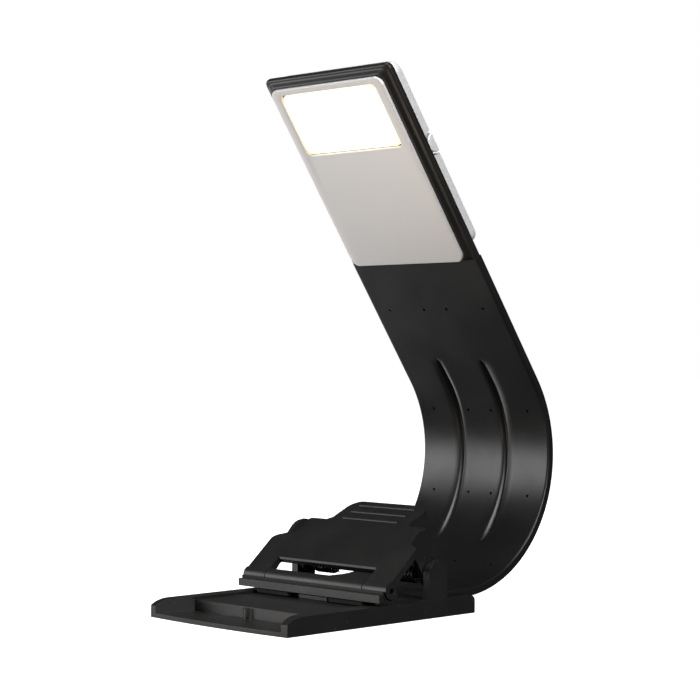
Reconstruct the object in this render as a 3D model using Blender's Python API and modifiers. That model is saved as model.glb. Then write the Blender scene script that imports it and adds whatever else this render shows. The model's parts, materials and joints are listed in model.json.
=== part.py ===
"""Clip on reading lamp: spring clamp base, flexible strap neck and flat rechargeable head.

Metres in the scene, millimetres in the constants. +Z is up, +X is across the lamp and -Y is the front
where the clamp opens. Shapes are drawn with Y = 0 at the rear end of the base, and each finished solid
is moved forward so that the origin is under the middle of the lamp. The neck stands bent as in use.
"""

import math

import bmesh
import bpy
from mathutils import Euler, Matrix, Vector

MM = 0.001

# Base moulding
BASE_W = 54.0
BASE_L = 69.4
BASE_BOTTOM = 0.1
RAIL_TOP = 4.9
RAIL_INNER = 22.0
RAIL_INNER_REAR = 24.7
REAR_WIDE_FROM = -19.0
NOSE_L = 7.0
TAIL_R = 1.5
LIP_BOW = 1.2
TRAY_FLOOR = 1.3
TRAY_STEP_Y = -57.4
TRAY_HALF_FRONT = 25.6
TRAY_HALF_BACK = 21.8
DECK_TOP = 4.3
DECK_UNDER = 2.6
SEAT_TOP = 3.75
SEAT_FROM = -11.3
STEP_BUMP_R = 1.6
STOP_RIB_HALF = 5.5
STOP_RIB_Y = -34.2
STOP_RIB_T = 0.8
STOP_RIB_TOP = 5.25
EAR_T = 2.4
EAR_R = 3.4
EAR_TOP = 15.1
COVER_T = 0.8
COVER_BOTTOM = 0.5
FOOT_INSET = 2.6
FOOT_W = 3.4
FOOT_L = 54.0
FOOT_T = 0.8

# Lever pivot
PIVOT_Y = -14.2
PIVOT_Z = 11.0
PIVOT_R = 1.2
RUN = 0.06
PIVOT_BLIND = 0.9

# Torsion springs
COIL_R = 2.2
WIRE_R = 0.4
COIL_IN = 13.0
COIL_PITCH = 1.1
COIL_TURNS = 6
PAD_LEG_Y = -9.0
DECK_LEG_Y = -5.2
LEG_CLEAR = 0.25

# Lever
LEVER_HALF = 28.0
SIDE_R = 2.4
SLOT_TOP = (-29.5, 13.9)
SHOULDER = (-24.4, 18.3)
BODY_END = (-14.2, 23.6)
PAD_END = (-4.2, 28.2)
LEVER_DEPTHS = (2.3, 2.2, 2.1, 1.9)
PAD_HALF = 15.0
PAD_CORNER = 3.6
CHEEK_OUT = 24.2
CHEEK_T = 1.6
LUG_R = 3.0
RIB_HALF = 10.65
RIB_R = 0.5
RIB_FIRST_Y = -13.0
RIB_STEP = 3.3
RIBS = 3

# Swivel jaw
JAW_Y = -32.8
JAW_Z = 8.7
KNUCKLE_R = 2.2
KNUCKLE_GAP = 19.0
KNUCKLE_CLEAR = 0.3
JAW_PIN_R = 0.7
JAW_HALF = 27.6
CRADLE_IN = 2.5
CRADLE_OUT = 2.95
BAR_FRONT = -37.0
BAR_LOW = 5.9
BAR_HIGH = 7.9
GRIP_T = 0.95
GRIP_LOW = 4.6
GRIP_IN = 7.5
GRIP_OUT = 21.0
GRIP_FRONT = -36.4
GRIP_BACK = -31.4

# Strap
STRAP_W = 48.7
STRAP_T = 2.4
BEND_R = 35.0
BEND_Y = -1.45
SEAT_GAP = 0.35
BEND_END = 124.7
STRAIGHT_L = 41.3
TONGUE_Y = -10.8
HINGES = (10.0, 36.0, 62.0, 88.0, 114.0)
HINGE_GAP = 0.3
STAY_W = 12.0
STAY_T = 0.5
STAY_CLEAR = 0.2
STAY_BACK = 2.2
GROOVE_X = 8.5
GROOVE_W = 1.8
GROOVE_D = 0.8
GROOVE_FROM = 44.0
GROOVE_PAST = 8.0
DOT_R = 0.45
DOT_D = 0.6
DOT_X = (4.4, 18.3)
DOT_ANGLES = (30.0, 70.0, 110.0)
DOT_PAST = 25.5
TONGUE_SCREW_X = 13.0
TONGUE_SCREW_Y = -6.0
SCREW_R = 0.95
SCREW_HEAD_R = 1.9
SCREW_HEAD_T = 0.9
SCREW_TOP = 5.5
SCREW_HOLE_R = 1.15

# Head, in its own axes: x across, s up the strap past the bend, w out of the front face
HEAD_LOW = 41.6
HEAD_HIGH = 102.1
HEAD_R = 3.0
PED_SLOPE = 0.7
PED_SUNK = 0.6
PED_TOP = 1.0
PLATE_HALF = 21.55
PLATE_LOW = 42.15
PLATE_HIGH = 99.65
PLATE_R = 2.5
PLATE_BACK = 1.2
PLATE_FRONT = 2.0
WIN_HALF = 18.25
WIN_LOW = 78.9
WIN_HIGH = 97.75
WIN_R = 1.6
POCKET_HALF = 20.6
POCKET_LOW = 45.0
POCKET_HIGH = 99.1
POCKET_TOP = -0.1
DIFF_FRONT = 1.75
DIFF_FLANGE = 1.2
DIFF_FLANGE_T = 0.5
SHELL_HALF = 22.8
SHELL_LOW = 44.6
SHELL_HIGH = 100.6
SHELL_R = 3.2
SHELL_DEEP = 3.3
SHELL_WALL = 1.1
SHELL_SKIN = 0.5
SHELL_EDGE = 0.5
PART_GAP = 0.2
BOARD_T = 0.8
LED_BOARD_FRONT = -1.7
LED_L = 3.2
LED_W = 2.6
LED_T = 0.6
LED_COLS = 4
LED_PITCH_X = 8.6
LED_PITCH_S = 8.0
WELL_T = 0.8
CELL_LOW = 57.9
CELL_HIGH = 77.5
CELL_LEFT = -19.6
CELL_RIGHT = 14.4
CELL_T = 3.0
CELL_BACK = -4.6
MAIN_LOW = 46.4
MAIN_HIGH = 57.6
KEY_S = 75.6
KEY_W = -5.3
KEY_R = 2.7
KEY_RECESS_R = 3.7
KEY_PROUD = 0.3
KEY_LONG = 2.2
KEY_STROKE = 0.5
SWITCH_L = 3.0
SWITCH_H = 4.2
SWITCH_T = 2.0
USB_S = 51.8
USB_LONG = 7.5
USB_HIGH = 2.4
USB_DEEP = 5.4
USB_WALL = 0.35

ROUND = 32

REAR_Y = (BASE_L - (BEND_R + STRAP_T + BEND_Y)) * 0.5
BEND_Z = SEAT_TOP + SEAT_GAP + STRAP_T + BEND_R


def clear_scene():
    for obj in list(bpy.data.objects):
        bpy.data.objects.remove(obj, do_unlink=True)
    for extra in list(bpy.data.collections):
        bpy.data.collections.remove(extra)


clear_scene()
PARTS = bpy.data.collections.new("clip_on_reading_lamp")
bpy.context.scene.collection.children.link(PARTS)

SIDE_ON = Matrix(((0, 0, 1, 0), (1, 0, 0, 0), (0, 1, 0, 0), (0, 0, 0, 1)))
HEAD_ORIGIN = Vector(
    (
        0.0,
        BEND_Y + BEND_R * math.sin(math.radians(BEND_END)),
        BEND_Z - BEND_R * math.cos(math.radians(BEND_END)),
    )
)
HEAD_TURN = Euler((math.radians(BEND_END), 0.0, 0.0)).to_matrix().to_4x4()
HEAD_FRAME = Matrix.Translation(HEAD_ORIGIN * MM) @ HEAD_TURN


def material(name, colour, roughness, metallic=0.0):
    made = bpy.data.materials.new(name)
    made.use_nodes = True
    shader = made.node_tree.nodes["Principled BSDF"]
    shader.inputs["Base Color"].default_value = (*colour, 1.0)
    shader.inputs["Roughness"].default_value = roughness
    shader.inputs["Metallic"].default_value = metallic
    made.diffuse_color = (*colour, 1.0)
    return made


def keep(obj, name, look, crease=35.0, frame=None):
    """Names a finished solid, gives it its material and files it with the parts."""
    if frame is not None:
        obj.data.transform(frame)
    obj.name = name
    obj.data.name = name
    obj.data.transform(Matrix.Translation((0.0, REAR_Y * MM, 0.0)))
    for owner in list(obj.users_collection):
        owner.objects.unlink(obj)
    PARTS.objects.link(obj)
    obj.data.materials.clear()
    obj.data.materials.append(look)
    for face in obj.data.polygons:
        face.use_smooth = True
    obj.data.set_sharp_from_angle(angle=math.radians(crease))
    return obj


def from_mesh(mesh, frame=None):
    obj = bpy.data.objects.new(mesh.name, mesh)
    PARTS.objects.link(obj)
    if frame is not None:
        obj.data.transform(frame)
    return obj


def slab(outlines, low, high, frame=None):
    """Closed outlines in millimetres, filled and pulled from low to high along the third axis."""
    curve = bpy.data.curves.new("slab", "CURVE")
    curve.dimensions = "2D"
    curve.fill_mode = "BOTH"
    curve.extrude = (high - low) * 0.5 * MM
    for outline in outlines:
        spline = curve.splines.new("POLY")
        spline.points.add(len(outline) - 1)
        for point, (a, b) in zip(spline.points, outline):
            point.co = (a * MM, b * MM, 0.0, 1.0)
        spline.use_cyclic_u = True
    guide = bpy.data.objects.new("slab_guide", curve)
    bpy.context.scene.collection.objects.link(guide)
    bpy.context.view_layer.update()
    graph = bpy.context.evaluated_depsgraph_get()
    mesh = bpy.data.meshes.new_from_object(guide.evaluated_get(graph))
    bpy.data.objects.remove(guide, do_unlink=True)
    work = bmesh.new()
    work.from_mesh(mesh)
    bmesh.ops.remove_doubles(work, verts=work.verts, dist=0.000002)
    bmesh.ops.translate(work, verts=work.verts, vec=(0.0, 0.0, (high + low) * 0.5 * MM))
    bmesh.ops.recalc_face_normals(work, faces=work.faces)
    work.to_mesh(mesh)
    work.free()
    return from_mesh(mesh, frame)


def box(low, high, frame=None):
    work = bmesh.new()
    bmesh.ops.create_cube(work, size=1.0)
    size = [(b - a) * MM for a, b in zip(low, high)]
    middle = [(a + b) * 0.5 * MM for a, b in zip(low, high)]
    bmesh.ops.scale(work, verts=work.verts, vec=size)
    bmesh.ops.translate(work, verts=work.verts, vec=middle)
    mesh = bpy.data.meshes.new("box")
    work.to_mesh(mesh)
    work.free()
    return from_mesh(mesh, frame)


def rod(radius, low, high, a, b, frame, sides=ROUND):
    """A round bar along the frame's third axis, centred on (a, b)."""
    work = bmesh.new()
    bmesh.ops.create_cone(
        work,
        cap_ends=True,
        segments=sides,
        radius1=radius * MM,
        radius2=radius * MM,
        depth=(high - low) * MM,
    )
    place = Matrix.Translation(Vector((a, b, (low + high) * 0.5)) * MM)
    bmesh.ops.transform(work, matrix=place, verts=work.verts)
    mesh = bpy.data.meshes.new("rod")
    work.to_mesh(mesh)
    work.free()
    return from_mesh(mesh, frame)


def combine(base, other, how):
    """One Boolean, applied at once; the second solid is used up."""
    step = base.modifiers.new("joined", "BOOLEAN")
    step.operation = how
    step.solver = "EXACT"
    step.object = other
    bpy.context.view_layer.update()
    graph = bpy.context.evaluated_depsgraph_get()
    mesh = bpy.data.meshes.new_from_object(base.evaluated_get(graph))
    base.modifiers.clear()
    base.data = mesh
    bpy.data.objects.remove(other, do_unlink=True)
    return base


def cut(base, *others):
    for other in others:
        combine(base, other, "DIFFERENCE")
    return base


def join(base, *others):
    for other in others:
        combine(base, other, "UNION")
    return base


def soften(obj, width, segments=2, angle=40.0):
    """A small even edge round, applied at once."""
    step = obj.modifiers.new("edge", "BEVEL")
    step.width = width * MM
    step.segments = segments
    step.limit_method = "ANGLE"
    step.angle_limit = math.radians(angle)
    step.use_clamp_overlap = True
    bpy.context.view_layer.update()
    graph = bpy.context.evaluated_depsgraph_get()
    mesh = bpy.data.meshes.new_from_object(obj.evaluated_get(graph))
    obj.modifiers.clear()
    obj.data = mesh
    return obj


def arc(centre, radius, start, end, steps):
    """Points on a circle, angles in degrees from the first axis."""
    points = []
    for i in range(steps + 1):
        turn = math.radians(start + (end - start) * i / steps)
        points.append((centre[0] + radius * math.cos(turn), centre[1] + radius * math.sin(turn)))
    return points


def rounded(a0, b0, a1, b1, radius, steps=5):
    """A rectangle with round corners, anticlockwise."""
    corners = (
        ((a1 - radius, b0 + radius), -90.0),
        ((a1 - radius, b1 - radius), 0.0),
        ((a0 + radius, b1 - radius), 90.0),
        ((a0 + radius, b0 + radius), 180.0),
    )
    points = []
    for centre, start in corners:
        points += arc(centre, radius, start, start + 90.0, steps)
    return points


def bend_point(angle, w):
    """A point of the strap's bend in side view: angle up the bend, w out of the inner face."""
    turn = math.radians(angle)
    reach = BEND_R - w
    return (BEND_Y + reach * math.sin(turn), BEND_Z - reach * math.cos(turn))


def straight_point(s, w):
    turn = math.radians(BEND_END)
    start = bend_point(BEND_END, w)
    return (start[0] + s * math.cos(turn), start[1] + s * math.sin(turn))


def bend_line(start, end, w, step=2.0):
    count = max(1, round(abs(end - start) / step))
    return [bend_point(start + (end - start) * i / count, w) for i in range(count + 1)]


# ---------------------------------------------------------------- base


def base_outline():
    """Side view of the rails: rounded nose at the front, round upper corner at the tail."""
    front = -BASE_L
    points = [(front, BASE_BOTTOM), (0.0, BASE_BOTTOM)]
    points += arc((-TAIL_R, RAIL_TOP - TAIL_R), TAIL_R, 0.0, 90.0, 5)
    rise = RAIL_TOP - TRAY_FLOOR
    for i in range(13):
        turn = math.radians(90.0 * i / 12)
        points.append((front + NOSE_L * (1.0 - math.sin(turn)), TRAY_FLOOR + rise * math.cos(turn)))
    return points


def base_plan():
    """Plan view: square rear, front lip bowed forward."""
    half = BASE_W * 0.5
    points = [(half, 0.0), (-half, 0.0)]
    front = -BASE_L
    for i in range(17):
        x = -half + BASE_W * i / 16
        points.append((x, front + LIP_BOW * (x / half) ** 2))
    return points


def make_base(look):
    half = BASE_W * 0.5
    body = slab([base_outline()], -half, half, SIDE_ON)
    combine(body, slab([base_plan()], -1.0, 30.0), "INTERSECT")
    tray = [
        (-TRAY_HALF_FRONT, -BASE_L - 2.0),
        (TRAY_HALF_FRONT, -BASE_L - 2.0),
        (TRAY_HALF_BACK, TRAY_STEP_Y),
        (-TRAY_HALF_BACK, TRAY_STEP_Y),
    ]
    cut(body, slab([tray], TRAY_FLOOR, 12.0))
    cut(body, box((-RAIL_INNER, TRAY_STEP_Y - 0.5, DECK_TOP), (RAIL_INNER, 1.0, 12.0)))
    wide = RAIL_INNER_REAR
    cut(body, box((-wide, REAR_WIDE_FROM, DECK_TOP), (wide, 1.0, 12.0)))
    cut(body, box((-wide, SEAT_FROM, SEAT_TOP), (wide, 1.0, 12.0)))
    inner = RAIL_INNER - 0.4
    cut(body, box((-inner, TRAY_STEP_Y + 1.2, -1.0), (inner, -2.2, DECK_UNDER)))
    for side in (-1, 1):
        outer = side * half
        face = side * (half - EAR_T)
        low, high = min(outer, face), max(outer, face)
        centre = (PIVOT_Y, EAR_TOP - EAR_R)
        ear = [(PIVOT_Y + EAR_R, 2.0)] + arc(centre, EAR_R, 0.0, 180.0, 18)
        ear.append((PIVOT_Y - EAR_R, 2.0))
        join(body, slab([ear], low, high, SIDE_ON))
        reach = half - PIVOT_BLIND
        ends = sorted((side * (half - EAR_T - 2.0), side * reach))
        cut(body, rod(PIVOT_R + RUN, ends[0], ends[1], PIVOT_Y, PIVOT_Z, SIDE_ON))
        foot = side * (half - FOOT_INSET)
        pad = FOOT_W * 0.5 + PART_GAP
        y_mid = -BASE_L * 0.5
        y_half = FOOT_L * 0.5 + PART_GAP
        cut(
            body,
            box(
                (foot - pad, y_mid - y_half, -1.0),
                (foot + pad, y_mid + y_half, FOOT_T + PART_GAP),
            ),
        )
        hole = rod(SCREW_HOLE_R, DECK_UNDER - 1.0, 6.0, side * TONGUE_SCREW_X, TONGUE_SCREW_Y, None)
        cut(body, hole)
    bump = arc((0.0, TRAY_STEP_Y + 0.2), STEP_BUMP_R, 180.0, 360.0, 10)
    join(body, slab([bump], TRAY_FLOOR - 0.4, DECK_TOP - 0.3))
    rib = STOP_RIB_T * 0.5
    join(
        body,
        box(
            (-STOP_RIB_HALF, STOP_RIB_Y - rib, DECK_TOP - 0.5),
            (STOP_RIB_HALF, STOP_RIB_Y + rib, STOP_RIB_TOP),
        ),
    )
    return keep(body, "base_tray", look)


def make_cover(look):
    inner = RAIL_INNER - 0.4 - PART_GAP
    front = TRAY_STEP_Y + 1.2 + PART_GAP
    plate = slab(
        [rounded(-inner, front, inner, -2.2 - PART_GAP, 1.0, 3)],
        COVER_BOTTOM,
        COVER_BOTTOM + COVER_T,
    )
    return keep(plate, "base_bottom_cover", look)


def make_feet(look):
    for side, tag in ((-1, "left"), (1, "right")):
        foot = side * (BASE_W * 0.5 - FOOT_INSET)
        y_mid = -BASE_L * 0.5
        outline = rounded(
            foot - FOOT_W * 0.5,
            y_mid - FOOT_L * 0.5,
            foot + FOOT_W * 0.5,
            y_mid + FOOT_L * 0.5,
            1.2,
            4,
        )
        keep(slab([outline], 0.0, FOOT_T), "foot_strip_" + tag, look)


def make_pivot_pin(look):
    end = BASE_W * 0.5 - PIVOT_BLIND - 0.2
    pin = rod(PIVOT_R, -end, end, PIVOT_Y, PIVOT_Z, SIDE_ON)
    return keep(pin, "pivot_pin", look)


def tangent_turn(tip, side):
    """Angle on the coil where a straight leg to the tip leaves it."""
    reach = Vector(tip) - Vector((PIVOT_Y, PIVOT_Z))
    return math.atan2(reach.y, reach.x) + side * math.acos(COIL_R / reach.length)


def spring_line():
    """One spring's wire: a leg up to the thumb pad, the coil, and a leg down to the strap's foot."""
    strap_top = BEND_Z - BEND_R
    pad_tip = (PAD_LEG_Y, lever_under(PAD_LEG_Y) - WIRE_R - LEG_CLEAR * 1.2)
    deck_tip = (DECK_LEG_Y, strap_top + WIRE_R + LEG_CLEAR)
    first = tangent_turn(pad_tip, -1.0)
    last = tangent_turn(deck_tip, 1.0) - 2.0 * math.pi * COIL_TURNS
    steps = 16 * COIL_TURNS
    points = [(COIL_IN, *pad_tip)]
    for i in range(steps + 1):
        turn = first + (last - first) * i / steps
        x = COIL_IN + COIL_PITCH * COIL_TURNS * i / steps
        y = PIVOT_Y + COIL_R * math.cos(turn)
        points.append((x, y, PIVOT_Z + COIL_R * math.sin(turn)))
    points.append((points[-1][0], *deck_tip))
    return points


def make_springs(look):
    for side, tag in ((-1, "left"), (1, "right")):
        curve = bpy.data.curves.new("spring", "CURVE")
        curve.dimensions = "3D"
        curve.bevel_depth = WIRE_R * MM
        curve.bevel_resolution = 1
        curve.use_fill_caps = True
        spline = curve.splines.new("POLY")
        points = spring_line()
        spline.points.add(len(points) - 1)
        for point, place in zip(spline.points, points):
            point.co = (side * place[0] * MM, place[1] * MM, place[2] * MM, 1.0)
        guide = bpy.data.objects.new("spring_guide", curve)
        bpy.context.scene.collection.objects.link(guide)
        bpy.context.view_layer.update()
        graph = bpy.context.evaluated_depsgraph_get()
        mesh = bpy.data.meshes.new_from_object(guide.evaluated_get(graph))
        bpy.data.objects.remove(guide, do_unlink=True)
        work = bmesh.new()
        work.from_mesh(mesh)
        bmesh.ops.remove_doubles(work, verts=work.verts, dist=0.000002)
        bmesh.ops.recalc_face_normals(work, faces=work.faces)
        work.to_mesh(mesh)
        work.free()
        keep(from_mesh(mesh), "torsion_spring_" + tag, look, 60.0)


# ---------------------------------------------------------------- lever and jaw


def along(line, y):
    """Height at y of a line through points given front to back."""
    for (y0, z0), (y1, z1) in zip(line, line[1:]):
        if y <= y1:
            break
    return z0 + (z1 - z0) * (y - y0) / (y1 - y0)


def lever_top(y):
    return along((SLOT_TOP, SHOULDER, BODY_END, PAD_END), y)


def lever_under(y):
    tops = (SLOT_TOP, SHOULDER, BODY_END, PAD_END)
    return along([(a, z - depth) for (a, z), depth in zip(tops, LEVER_DEPTHS)], y)


def lever_plan():
    half = LEVER_HALF
    right = [(half, -40.0), (half, SHOULDER[0] - 0.4)]
    right += arc((half - SIDE_R, SHOULDER[0] - 0.4), SIDE_R, 0.0, 80.0, 10)[1:]
    right += [(CHEEK_OUT - 0.8, SHOULDER[0] + 3.4), (CHEEK_OUT - 0.8, BODY_END[0] - 1.2)]
    right += [(CHEEK_OUT - 2.0, BODY_END[0])]
    right += [(PAD_HALF + 1.2, BODY_END[0]), (PAD_HALF, BODY_END[0] + 1.2)]
    centre = (PAD_HALF - PAD_CORNER, PAD_END[0] - PAD_CORNER)
    right += arc(centre, PAD_CORNER, 0.0, 90.0, 6)
    left = [(-x, y) for x, y in reversed(right)]
    return right + left


def make_lever(look):
    tops = [(JAW_Y - 1.2, JAW_Z + 1.3), SLOT_TOP, SHOULDER, BODY_END, PAD_END]
    side = list(tops)
    for (y, z), depth in zip(reversed(tops[1:]), reversed(LEVER_DEPTHS)):
        side.append((y, z - depth))
    side.append((JAW_Y + 1.5, JAW_Z + 0.8))
    side.append((JAW_Y, JAW_Z + 0.1))
    body = slab([side], -LEVER_HALF - 1.0, LEVER_HALF + 1.0, SIDE_ON)
    combine(body, slab([lever_plan()], -5.0, 60.0), "INTERSECT")
    slot = [
        (SLOT_TOP[0] - 9.0, SLOT_TOP[1] - 12.0),
        (SLOT_TOP[0] + 0.9, SLOT_TOP[1] - 12.0),
        (SLOT_TOP[0] + 0.9, SLOT_TOP[1] - 1.7),
        (SLOT_TOP[0] - 0.03, SLOT_TOP[1] - 0.6),
        (SLOT_TOP[0], SLOT_TOP[1]),
        (SLOT_TOP[0] - 1.5, SLOT_TOP[1] + 3.0),
        (SLOT_TOP[0] - 9.0, SLOT_TOP[1] + 3.0),
    ]
    free = KNUCKLE_GAP + KNUCKLE_CLEAR * 0.5
    cut(body, slab([slot], -free, free, SIDE_ON))
    for sign in (-1, 1):
        ends = sorted((sign * (free + 0.02), sign * (LEVER_HALF - 0.05)))
        join(body, rod(KNUCKLE_R, ends[0], ends[1], JAW_Y, JAW_Z, SIDE_ON))
        cut(
            body,
            rod(JAW_PIN_R + RUN, ends[0] - 1.0, ends[1] + 1.0, JAW_Y, JAW_Z, SIDE_ON, 16),
        )
        edges = sorted((sign * (CHEEK_OUT - CHEEK_T), sign * CHEEK_OUT))
        cheek = [
            (SHOULDER[0] + 1.5, SHOULDER[1] + 0.3),
            (SHOULDER[0] + 3.5, SHOULDER[1] + 2.6),
            (SHOULDER[0] + 4.5, SHOULDER[1] + 3.6),
            (SHOULDER[0] + 5.5, SHOULDER[1] + 4.3),
            (SHOULDER[0] + 6.6, SHOULDER[1] + 4.75),
            (BODY_END[0] - 1.6, BODY_END[1] - 0.25),
            (BODY_END[0] - 0.5, BODY_END[1] - 0.8),
            (BODY_END[0] + 0.1, BODY_END[1] - 1.7),
            (PIVOT_Y + 0.1, PIVOT_Z + LUG_R + 0.9),
        ]
        cheek += arc((PIVOT_Y, PIVOT_Z), LUG_R, 78.0, -180.0, 20)
        cheek.append((PIVOT_Y - LUG_R - 2.6, PIVOT_Z + 4.2))
        join(body, slab([cheek], edges[0], edges[1], SIDE_ON))
        cut(
            body,
            rod(PIVOT_R + RUN, edges[0] - 1.0, edges[1] + 1.0, PIVOT_Y, PIVOT_Z, SIDE_ON),
        )
    for i in range(RIBS):
        y = RIB_FIRST_Y + RIB_STEP * i
        join(body, rod(RIB_R, -RIB_HALF, RIB_HALF, y, lever_top(y), SIDE_ON, 10))
    return keep(body, "clamp_lever", look)


def make_jaw(look, grip_look, steel):
    barrel_end = KNUCKLE_GAP - KNUCKLE_CLEAR * 0.5
    centre = (JAW_Y, JAW_Z)
    cradle = arc(centre, CRADLE_OUT, 180.0, 340.0, 14)
    cradle += arc(centre, CRADLE_IN, 340.0, 180.0, 12)
    body = slab([cradle], -JAW_HALF, JAW_HALF, SIDE_ON)
    bar = [
        (BAR_FRONT, BAR_LOW),
        (JAW_Y - 1.6, BAR_LOW),
        (JAW_Y - CRADLE_IN - 0.15, BAR_HIGH - 0.9),
        (JAW_Y - CRADLE_IN - 0.15, BAR_HIGH),
        (BAR_FRONT, BAR_HIGH),
    ]
    join(body, slab([bar], -JAW_HALF, JAW_HALF, SIDE_ON))
    middle = [
        (JAW_Y - CRADLE_IN - 0.3, JAW_Z - 0.3),
        (JAW_Y - CRADLE_IN - 0.3, JAW_Z - 1.2),
        (JAW_Y, JAW_Z - CRADLE_OUT + 0.1),
        (JAW_Y + CRADLE_IN, JAW_Z - 1.0),
        (JAW_Y, JAW_Z),
    ]
    join(body, slab([middle], -barrel_end, barrel_end, SIDE_ON))
    join(body, rod(KNUCKLE_R, -barrel_end, barrel_end, JAW_Y, JAW_Z, SIDE_ON))
    cut(
        body,
        rod(JAW_PIN_R + RUN, -JAW_HALF - 1.0, JAW_HALF + 1.0, JAW_Y, JAW_Z, SIDE_ON, 16),
    )
    keep(body, "swivel_jaw", look)
    for sign, tag in ((-1, "left"), (1, "right")):
        ends = sorted((sign * GRIP_IN, sign * GRIP_OUT))
        pad = slab(
            [rounded(ends[0], GRIP_FRONT, ends[1], GRIP_BACK, 0.8, 3)],
            GRIP_LOW,
            GRIP_LOW + GRIP_T,
        )
        keep(pad, "jaw_grip_" + tag, grip_look)
    pin = rod(JAW_PIN_R, -JAW_HALF, JAW_HALF, JAW_Y, JAW_Z, SIDE_ON, 16)
    keep(pin, "jaw_pin", steel)


# ---------------------------------------------------------------- strap


def hinge_dir(angle, u, w):
    """A point near a hinge in side view: u up the strap, w toward the inner face, from mid thickness."""
    turn = math.radians(angle)
    y, z = bend_point(angle, -STRAP_T * 0.5)
    return (
        y + u * math.cos(turn) - w * math.sin(turn),
        z + u * math.sin(turn) + w * math.cos(turn),
    )


def round_end(angle):
    """Half round end of the lower piece, from the outer face round to the inner face."""
    r = STRAP_T * 0.5
    points = []
    for i in range(1, 8):
        turn = math.radians(-90.0 + 180.0 * i / 8)
        points.append(hinge_dir(angle, r * math.cos(turn), r * math.sin(turn)))
    return points


def hollow_end(angle):
    """Matching hollow of the upper piece, from the inner face round to the outer face."""
    r = STRAP_T * 0.5 + HINGE_GAP
    reach = math.degrees(math.asin(STRAP_T * 0.5 / r))
    points = []
    for i in range(9):
        turn = math.radians(reach - 2.0 * reach * i / 8)
        points.append(hinge_dir(angle, r * math.cos(turn), r * math.sin(turn)))
    return points


def lip_angle():
    """How far past a hinge the upper piece's faces begin, in degrees of the bend."""
    r = STRAP_T * 0.5 + HINGE_GAP
    back = math.sqrt(r * r - (STRAP_T * 0.5) ** 2)
    return math.degrees(back / (BEND_R + STRAP_T * 0.5))


def link_outline(index):
    """Side view of one strap piece; the first is flat where the base holds it."""
    lip = lip_angle() * 1.15
    last = index == len(HINGES)
    outer = []
    inner = []
    start = 0.0 if index == 0 else HINGES[index - 1] + lip
    end = BEND_END if last else HINGES[index]
    outer += bend_line(start, end, -STRAP_T)
    inner += bend_line(end, start, 0.0)
    if index == 0:
        outer.insert(0, (TONGUE_Y, outer[0][1]))
        inner.append((TONGUE_Y, inner[-1][1]))
    if last:
        outer.append(straight_point(STRAIGHT_L, -STRAP_T))
        inner.insert(0, straight_point(STRAIGHT_L, 0.0))
        return outer + inner + hollow_end(HINGES[-1])
    points = outer + round_end(HINGES[index]) + inner
    if index > 0:
        points += hollow_end(HINGES[index - 1])
    return points


def channel_outline(index, half, back):
    """Side view of a strip at mid thickness, stopping short of the hinges by back."""
    middle = -STRAP_T * 0.5
    step = math.degrees(back / (BEND_R + STRAP_T * 0.5))
    last = index == len(HINGES)
    start = 0.0 if index == 0 else HINGES[index - 1] + step
    end = BEND_END if last else HINGES[index] - step
    outer = bend_line(start, end, middle - half)
    inner = bend_line(end, start, middle + half)
    if index == 0:
        reach = TONGUE_Y + (1.6 if back > 0.0 else -1.0)
        outer.insert(0, (reach, outer[0][1]))
        inner.append((reach, inner[-1][1]))
    if last:
        reach = STRAIGHT_L - (1.6 if back > 0.0 else -1.0)
        outer.append(straight_point(reach, middle - half))
        inner.insert(0, straight_point(reach, middle + half))
    return outer + inner


def groove_outline():
    outer = bend_line(GROOVE_FROM, BEND_END, -GROOVE_D)
    inner = bend_line(BEND_END, GROOVE_FROM, 1.0)
    outer.append(straight_point(GROOVE_PAST, -GROOVE_D))
    inner.insert(0, straight_point(GROOVE_PAST, 1.0))
    return outer + inner


def dot_hole(x, angle, past):
    """A moulding locator hole in the inner face."""
    turn = math.radians(angle)
    y, z = bend_point(angle, 0.0) if past is None else straight_point(past, 0.0)
    tilt = Euler((turn, 0.0, 0.0)).to_matrix().to_4x4()
    frame = Matrix.Translation(Vector((x, y, z)) * MM) @ tilt
    return rod(DOT_R, -DOT_D, 1.0, 0.0, 0.0, frame, 10)


def make_strap(look, stay_look):
    half = STRAP_W * 0.5
    count = len(HINGES) + 1
    for index in range(count):
        body = slab([link_outline(index)], -half, half, SIDE_ON)
        room = STAY_T * 0.5 + STAY_CLEAR
        wide = STAY_W * 0.5 + STAY_CLEAR
        cut(body, slab([channel_outline(index, room, -2.0)], -wide, wide, SIDE_ON))
        stay = slab(
            [channel_outline(index, STAY_T * 0.5, STAY_BACK)],
            -STAY_W * 0.5,
            STAY_W * 0.5,
            SIDE_ON,
        )
        start = 0.0 if index == 0 else HINGES[index - 1]
        end = BEND_END + 40.0 if index == count - 1 else HINGES[index]
        if end > GROOVE_FROM:
            for sign in (-1, 1):
                low = sign * GROOVE_X - GROOVE_W * 0.5
                cut(body, slab([groove_outline()], low, low + GROOVE_W, SIDE_ON))
        for angle in DOT_ANGLES:
            if start < angle < end:
                for x in DOT_X:
                    cut(body, dot_hole(x, angle, None), dot_hole(-x, angle, None))
        if index == count - 1:
            for x in DOT_X:
                cut(
                    body,
                    dot_hole(x, BEND_END, DOT_PAST),
                    dot_hole(-x, BEND_END, DOT_PAST),
                )
        if index == 0:
            for sign in (-1, 1):
                x = sign * TONGUE_SCREW_X
                cut(body, rod(SCREW_HOLE_R, 3.0, SCREW_TOP + 0.3, x, TONGUE_SCREW_Y, None))
        keep(body, "strap_root" if index == 0 else f"strap_link_{index}", look)
        keep(stay, "stay_root" if index == 0 else f"stay_{index}", stay_look)


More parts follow.
